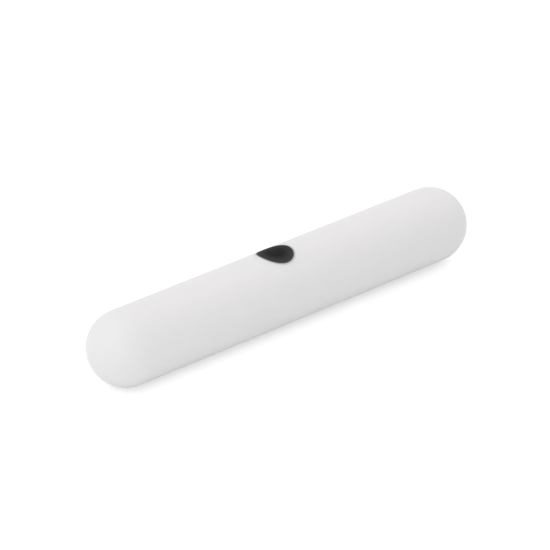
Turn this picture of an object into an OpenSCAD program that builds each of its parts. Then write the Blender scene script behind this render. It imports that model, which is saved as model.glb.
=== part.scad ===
// Magnetic stir bar: a rod magnet sealed in a white PTFE jacket with
// hemispherical ends and no pivot ring, marked by one round black dot.
//
// The origin is the middle of the bar. X runs along the bar and the magnet,
// Z is up, and the bar lies on its side with the dot facing straight up.
// All sizes are in millimetres.

/* [Bar] */
// Overall length of the bar, tip to tip
bar_length = 50; // [30:1:80]
// Outside diameter of the jacket and of its round ends
bar_diameter = 8; // [6:0.5:12]

/* [Jacket] */
// Thickness of the PTFE along the sides of the magnet
jacket_wall = 1.0; // [0.6:0.1:1.4]

/* [Magnet] */
// Distance that each flat end of the magnet reaches into a round end
magnet_reach = 0.5; // [0:0.1:1]
// Bevel ground round both ends of the magnet rod
magnet_bevel = 0.5; // [0.2:0.1:0.8]

/* [Dot] */
// Diameter of the black dot
dot_diameter = 3.85; // [1.5:0.05:4.5]
// Depth that the black material reaches into the jacket
dot_depth = 0.4; // [0.2:0.05:0.5]
// Distance of the dot from the middle of the bar, towards +X
dot_offset = -0.9; // [-3:0.1:3]

/* [Hidden] */
$fn = 128;

bar_radius = bar_diameter / 2;
// Length of the plain cylinder between the two round ends
barrel_length = bar_length - bar_diameter;
magnet_radius = bar_radius - jacket_wall;
magnet_length = barrel_length + 2 * magnet_reach;

// Rod with hemispherical ends, lying along X, centred on the origin.
module capsule(radius, length) {
    half_barrel = length / 2 - radius;
    rotate([0, 90, 0])
        rotate_extrude()
            intersection() {
                union() {
                    translate([-radius, -half_barrel])
                        square([2 * radius, 2 * half_barrel]);
                    for (side = [-1, 1])
                        translate([0, side * half_barrel])
                            circle(r = radius);
                }
                translate([0, -length])
                    square([2 * radius, 2 * length]);
            }
}

// Rod with bevelled flat ends, lying along X, centred on the origin.
module bevelled_rod(radius, length, bevel) {
    rotate([0, 90, 0])
        rotate_extrude()
            polygon([
                [0, -length / 2],
                [radius - bevel, -length / 2],
                [radius, -length / 2 + bevel],
                [radius, length / 2 - bevel],
                [radius - bevel, length / 2],
                [0, length / 2]
            ]);
}

// The space that the magnet fills. The PTFE is moulded tight against it.
module magnet_form() {
    bevelled_rod(magnet_radius, magnet_length, magnet_bevel);
}

// Disc that follows the curve of the barrel: its top is flush with the
// jacket, and its underside is parallel to the jacket's surface.
module dot_form() {
    difference() {
        intersection() {
            rotate([0, 90, 0])
                cylinder(r = bar_radius, h = barrel_length, center = true);
            translate([dot_offset, 0, 0])
                cylinder(d = dot_diameter, h = bar_radius + 1);
        }
        rotate([0, 90, 0])
            cylinder(r = bar_radius - dot_depth, h = bar_length, center = true);
    }
}

// One seamless moulding of PTFE round the magnet, with a shallow seat for
// the dot on its upper side.
module ptfe_jacket() {
    color("#ece9ea")
        difference() {
            capsule(bar_radius, bar_length);
            magnet_form();
            dot_form();
        }
}

// The rod magnet, magnetised from end to end.
module magnet_core() {
    color("#8d8f92")
        magnet_form();
}

// The black dot, bonded into its seat.
module marker_dot() {
    color("#2b2b2d")
        dot_form();
}

ptfe_jacket();
magnet_core();
marker_dot();
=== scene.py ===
import math

import bpy
from mathutils import Matrix, Vector


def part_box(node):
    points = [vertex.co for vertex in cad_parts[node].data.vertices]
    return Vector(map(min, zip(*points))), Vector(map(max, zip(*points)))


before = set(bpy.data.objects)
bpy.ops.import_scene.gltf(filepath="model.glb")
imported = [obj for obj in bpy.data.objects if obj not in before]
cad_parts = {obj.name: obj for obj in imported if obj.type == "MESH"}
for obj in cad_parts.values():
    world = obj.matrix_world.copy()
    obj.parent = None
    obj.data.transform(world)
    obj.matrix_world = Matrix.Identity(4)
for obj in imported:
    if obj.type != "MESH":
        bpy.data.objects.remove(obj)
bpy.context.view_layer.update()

# ---------------------------------------------------------------- sizes
# In metres, from the frame.
MM = 0.001
jacket_low, jacket_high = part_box("ptfe_jacket")
dot_low, dot_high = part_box("marker_dot")
BAR_CENTRE = (jacket_low + jacket_high) / 2
DOT_X = (dot_low.x + dot_high.x) / 2
DOT_RADIUS = (dot_high.x - dot_low.x) / 2


# ---------------------------------------------------------------- nodes
def new_material(name):
    material = bpy.data.materials.new(name)
    material.use_nodes = True
    material.node_tree.nodes.clear()
    return material, Tree(material.node_tree)


class Tree:
    """Short names for the shader nodes that this script uses."""

    def __init__(self, node_tree):
        self.tree = node_tree

    def node(self, kind, settings=None, **inputs):
        made = self.tree.nodes.new(kind)
        for name, value in (settings or {}).items():
            setattr(made, name, value)
        for name, value in inputs.items():
            self.feed(made, name.replace("_", " "), value)
        return made

    def feed(self, node, socket, value):
        """Links a socket's value, or sets a plain one."""
        entry = node.inputs[socket] if isinstance(socket, int) else node.inputs.get(socket)
        if isinstance(value, bpy.types.NodeSocket):
            self.tree.links.new(value, entry)
        else:
            entry.default_value = value

    def maths(self, operation, a, b):
        made = self.node("ShaderNodeMath", {"operation": operation})
        self.feed(made, 0, a)
        self.feed(made, 1, b)
        return made.outputs[0]

    def vector(self, operation, a, b=None, scale=None):
        made = self.node("ShaderNodeVectorMath", {"operation": operation})
        self.feed(made, 0, a)
        if b is not None:
            self.feed(made, 1, b)
        if scale is not None:
            made.inputs["Scale"].default_value = scale
        return made.outputs["Vector"]

    def place_mm(self):
        """Where the surface is, in millimetres of the object's own frame."""
        place = self.node("ShaderNodeTexCoord").outputs["Object"]
        return self.vector("SCALE", place, scale=1 / MM)

    def noise(self, place, per_mm, detail, roughness=0.55):
        """Noise of that many waves in a millimetre."""
        made = self.node(
            "ShaderNodeTexNoise", Vector=place, Scale=per_mm, Detail=detail, Roughness=roughness
        )
        return made.outputs["Fac"]

    def spread(self, value, low, high, from_low=0.25, from_high=0.75):
        """value, mapped to low..high from the range that a noise usually has, or from another."""
        made = self.node(
            "ShaderNodeMapRange",
            Value=value,
            From_Min=from_low,
            From_Max=from_high,
            To_Min=low,
            To_Max=high,
        )
        return made.outputs["Result"]

    def mix(self, factor, a, b):
        """Colour a, turning into colour b as factor goes from 0 to 1."""
        made = self.node("ShaderNodeMix", {"data_type": "RGBA"})
        factor_in, a_in, b_in, colour_out = 0, 6, 7, 2
        self.feed(made, factor_in, factor)
        self.feed(made, a_in, a)
        self.feed(made, b_in, b)
        return made.outputs[colour_out]

    def bump(self, height, distance, normal=None):
        """Normals of a relief that is that many metres deep, laid over another one's normals."""
        made = self.node("ShaderNodeBump", Height=height, Distance=distance)
        if normal is not None:
            self.feed(made, "Normal", normal)
        return made.outputs["Normal"]

    def surface(self, shader):
        self.node("ShaderNodeOutputMaterial", Surface=shader)


def rgba(red, green, blue):
    return (red, green, blue, 1.0)


# ---------------------------------------------------------------- materials
PTFE_IOR = 1.37
PTFE_SCATTER = 0.5 * MM
DOT_X_MM, DOT_RADIUS_MM = DOT_X / MM, DOT_RADIUS / MM


def dot_place(t, mm):
    """The place, counted from the bar's axis under the middle of the dot."""
    return t.vector("SUBTRACT", mm, (DOT_X_MM, 0.0, 0.0))


def from_dot(t, mm):
    """Distance from the middle of the dot, seen from straight above, in radii of the dot."""
    flat = t.vector("MULTIPLY", dot_place(t, mm), (1.0, 1.0, 0.0))
    distance = t.node("ShaderNodeVectorMath", {"operation": "LENGTH"})
    t.feed(distance, 0, flat)
    return t.maths("DIVIDE", distance.outputs["Value"], DOT_RADIUS_MM)


def white_ptfe():
    """Moulded PTFE: milky, faintly mottled by its sintered grains, with a satin waxy skin.
    Round the dot's seat, on its upper side, it is painted darker, as the dot's shade in the milky
    PTFE."""
    dull = rgba(0.866, 0.852, 0.856)
    milky = rgba(0.880, 0.868, 0.872)
    bright = rgba(0.893, 0.884, 0.886)
    # painted shade: the dot's shade in the milky PTFE, darker round its seat
    painted_dot_shade = rgba(0.30, 0.29, 0.30)
    shade_at_seat, shade_reach = 0.5, 1.12
    material, t = new_material("white_ptfe")
    mm = t.place_mm()
    clouds = t.noise(mm, per_mm=0.22, detail=2.0)
    grains = t.noise(mm, per_mm=2.6, detail=4.0, roughness=0.6)
    colour = t.mix(t.spread(clouds, 0.0, 1.0), dull, milky)
    colour = t.mix(t.spread(grains, 0.0, 1.0), colour, bright)
    height = t.node("ShaderNodeSeparateXYZ", Vector=mm).outputs["Z"]
    upper_side = t.spread(height, 0.0, 1.0, 0.0, 1.0)
    # where the painted shade of the dot lies, on the upper side only
    dot_shade_mask = t.spread(from_dot(t, mm), shade_at_seat, 0.0, 1.0, shade_reach)
    colour = t.mix(t.maths("MULTIPLY", dot_shade_mask, upper_side), colour, painted_dot_shade)
    skin = t.noise(mm, per_mm=7.0, detail=5.0, roughness=0.65)
    waves = t.noise(mm, per_mm=0.35, detail=1.0)
    roughness = t.spread(skin, 0.40, 0.50)
    normal = t.bump(waves, 0.03 * MM)
    normal = t.bump(skin, 0.004 * MM, normal=normal)
    shader = t.node(
        "ShaderNodeBsdfPrincipled",
        {"subsurface_method": "RANDOM_WALK"},
        Base_Color=colour,
        Roughness=roughness,
        Normal=normal,
        IOR=PTFE_IOR,
        Subsurface_Weight=1.0,
        Subsurface_Radius=(1.0, 0.95, 0.9),
        Subsurface_Scale=PTFE_SCATTER,
    )
    t.surface(shader.outputs["BSDF"])
    return material


def black_ptfe():
    """Black filled PTFE of the dot: matt, darkest in the middle and paler towards its rim, with a
    soft edge in the last part of its radius. The paler rim softens the dot into the white and is a
    painted
    sheen too: full on the dot's -X -Y half, cut down towards its +X +Y side as painted shade."""
    black = rgba(0.015, 0.015, 0.0155)
    grain = rgba(0.020, 0.020, 0.0205)
    # painted sheen: the paler colour of the dot's rim
    pale_rim = rgba(0.060, 0.057, 0.059)
    edge = rgba(0.14, 0.135, 0.14)
    pale_start, pale_full, edge_start = 0.45, 0.95, 0.93
    # painted shade: towards this side the rim's painted sheen is cut down to this much
    shade_side, shade_side_sheen = (0.67, 0.74, 0.0), 0.35
    material, t = new_material("black_ptfe")
    mm = t.place_mm()
    reach = from_dot(t, mm)
    across = t.node("ShaderNodeVectorMath", {"operation": "DOT_PRODUCT"})
    t.feed(across, 0, dot_place(t, mm))
    t.feed(across, 1, shade_side)
    amount = t.spread(across.outputs["Value"], 1.0, shade_side_sheen, 0.0, DOT_RADIUS_MM)
    # the rim's painted sheen, full on the -X -Y half and less towards the shaded side
    rim_sheen = t.maths("MULTIPLY", t.spread(reach, 0.0, 1.0, pale_start, pale_full), amount)
    grains = t.noise(mm, per_mm=5.0, detail=4.0)
    colour = t.mix(t.spread(grains, 0.0, 1.0), black, grain)
    colour = t.mix(rim_sheen, colour, pale_rim)
    colour = t.mix(t.spread(reach, 0.0, 1.0, edge_start, 1.0), colour, edge)
    roughness = t.spread(grains, 0.62, 0.74)
    normal = t.bump(grains, 0.005 * MM)
    shader = t.node(
        "ShaderNodeBsdfPrincipled",
        Base_Color=colour,
        Roughness=roughness,
        Normal=normal,
        IOR=PTFE_IOR,
        Specular_IOR_Level=0.08,
    )
    t.surface(shader.outputs["BSDF"])
    return material


def magnet_alloy():
    """Cast magnet alloy: grey, granular, and ground round its side."""
    dark, light = rgba(0.24, 0.245, 0.25), rgba(0.33, 0.33, 0.335)
    marks_per_mm = (9.0, 0.15, 0.15)
    material, t = new_material("magnet_alloy")
    mm = t.place_mm()
    grinding = t.noise(t.vector("MULTIPLY", mm, marks_per_mm), 1.0, detail=4.0)
    cast = t.noise(mm, per_mm=1.3, detail=5.0, roughness=0.65)
    colour = t.mix(t.spread(cast, 0.0, 1.0), dark, light)
    roughness = t.spread(grinding, 0.34, 0.56)
    normal = t.bump(cast, 0.01 * MM)
    normal = t.bump(grinding, 0.006 * MM, normal=normal)
    shader = t.node(
        "ShaderNodeBsdfPrincipled",
        Base_Color=colour,
        Metallic=1.0,
        Roughness=roughness,
        Normal=normal,
    )
    t.surface(shader.outputs["BSDF"])
    return material


def dress(node, material):
    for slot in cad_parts[node].material_slots:
        slot.material = material


dress("ptfe_jacket", white_ptfe())
dress("marker_dot", black_ptfe())
dress("magnet_core", magnet_alloy())


# ---------------------------------------------------------------- camera
SENSOR_MM = 36
PICTURE_PX = 550
FOCAL_PX = 4350
AZIMUTH, ELEVATION = -42.1, 26.45
DEPTH = 446.3 * MM
BAR_PX = Vector((281.6, 284.26))
NEAREST, FARTHEST = 0.01, 10.0


def from_side(azimuth, elevation):
    """The direction towards a place round the bar, in degrees. Azimuth 0 is the -Y side."""
    a, e = math.radians(azimuth), math.radians(elevation)
    return Vector((math.sin(a) * math.cos(e), -math.cos(a) * math.cos(e), math.sin(e)))


def make_camera():
    """Looks as the photograph does: the bar's middle, DEPTH away, falls on BAR_PX."""
    turn = math.radians(AZIMUTH)
    right = Vector((math.cos(turn), math.sin(turn), 0))
    back = from_side(AZIMUTH, ELEVATION)
    up = back.cross(right)
    off = (BAR_PX - Vector((PICTURE_PX, PICTURE_PX)) / 2) * DEPTH / FOCAL_PX
    data = bpy.data.cameras.new("camera")
    data.sensor_width = SENSOR_MM
    data.lens = FOCAL_PX / PICTURE_PX * data.sensor_width
    data.clip_start, data.clip_end = NEAREST, FARTHEST
    camera = bpy.data.objects.new("camera", data)
    bpy.context.scene.collection.objects.link(camera)
    place = BAR_CENTRE + back * DEPTH - right * off.x + up * off.y
    turned = Matrix((right, up, back)).transposed().to_4x4()
    camera.matrix_world = Matrix.Translation(place) @ turned
    bpy.context.scene.camera = camera


make_camera()


# ---------------------------------------------------------------- studio
WHITE = rgba(1, 1, 1)
FLOOR_SIDE = 1.6
FLOOR_COLOUR = rgba(0.877, 0.90, 0.90)
GLOW_COLOUR, GLOW = rgba(1.0, 0.965, 0.965), 0.435
WORLD_STRENGTH = 0.664
WIDE = math.radians(60)
WARM = (1.0, 0.927, 0.97)


def seen_directly(t):
    """1 for the camera, and for what gloss and glass show of the background."""
    path = t.node("ShaderNodeLightPath").outputs
    seen = t.maths("MAXIMUM", path["Is Camera Ray"], path["Is Glossy Ray"])
    return t.maths("MAXIMUM", seen, path["Is Transmission Ray"])


def make_floor():
    """A white table under the bar, a trace cooler than the lamps. It takes the bar's shadow, and
    glows a little where it is seen, so that the rest of it meets the white background. The glow
    is as much warmer as the table is cooler, so the shadow stays grey."""
    material, t = new_material("studio_floor")
    diffuse = t.node("ShaderNodeBsdfDiffuse", Color=FLOOR_COLOUR)
    glow = t.node("ShaderNodeEmission", Color=GLOW_COLOUR)
    t.feed(glow, "Strength", t.maths("MULTIPLY", seen_directly(t), GLOW))
    from_above = t.node("ShaderNodeAddShader")
    t.feed(from_above, 0, diffuse.outputs["BSDF"])
    t.feed(from_above, 1, glow.outputs["Emission"])
    clear = t.node("ShaderNodeBsdfTransparent")
    shader = t.node("ShaderNodeMixShader")
    t.feed(shader, 0, t.node("ShaderNodeNewGeometry").outputs["Backfacing"])
    t.feed(shader, 1, from_above.outputs["Shader"])
    t.feed(shader, 2, clear.outputs["BSDF"])
    t.surface(shader.outputs["Shader"])
    mesh = bpy.data.meshes.new("studio_floor")
    half, z = FLOOR_SIDE / 2, jacket_low.z
    corners = [(-half, -half, z), (half, -half, z), (half, half, z), (-half, half, z)]
    mesh.from_pydata(corners, [], [(0, 1, 2, 3)])
    mesh.materials.append(material)
    floor = bpy.data.objects.new("studio_floor", mesh)
    bpy.context.scene.collection.objects.link(floor)


def make_world():
    """Even light from all round, which is seen as plain white."""
    world = bpy.data.worlds.new("studio")
    world.use_nodes = True
    world.node_tree.nodes.clear()
    t = Tree(world.node_tree)
    shader = t.node("ShaderNodeBackground", Color=WHITE)
    t.feed(shader, "Strength", t.maths("MAXIMUM", seen_directly(t), WORLD_STRENGTH))
    t.node("ShaderNodeOutputWorld", Surface=shader.outputs["Background"])
    bpy.context.scene.world = world


def make_lamp(name, kind, towards, distance, energy, **settings):
    """A lamp that faces the bar from that direction. A sun's distance makes no difference."""
    data = bpy.data.lights.new(name, kind)
    data.energy = energy
    for key, value in settings.items():
        setattr(data, key, value)
    lamp = bpy.data.objects.new(name, data)
    bpy.context.scene.collection.objects.link(lamp)
    lamp.location = BAR_CENTRE + towards * distance
    lamp.rotation_mode = "QUATERNION"
    lamp.rotation_quaternion = (-towards).to_track_quat("-Z", "Y")


make_floor()
make_world()
make_lamp("key", "SUN", from_side(225, 50), distance=1.0, energy=0.47, angle=WIDE)
make_lamp("second", "SUN", from_side(90, 50), distance=1.0, energy=0.379, angle=WIDE, color=WARM)
make_lamp("fill", "AREA", from_side(300, 15), distance=0.25, energy=0.093, size=0.15)

bpy.context.scene.view_settings.view_transform = "Standard"
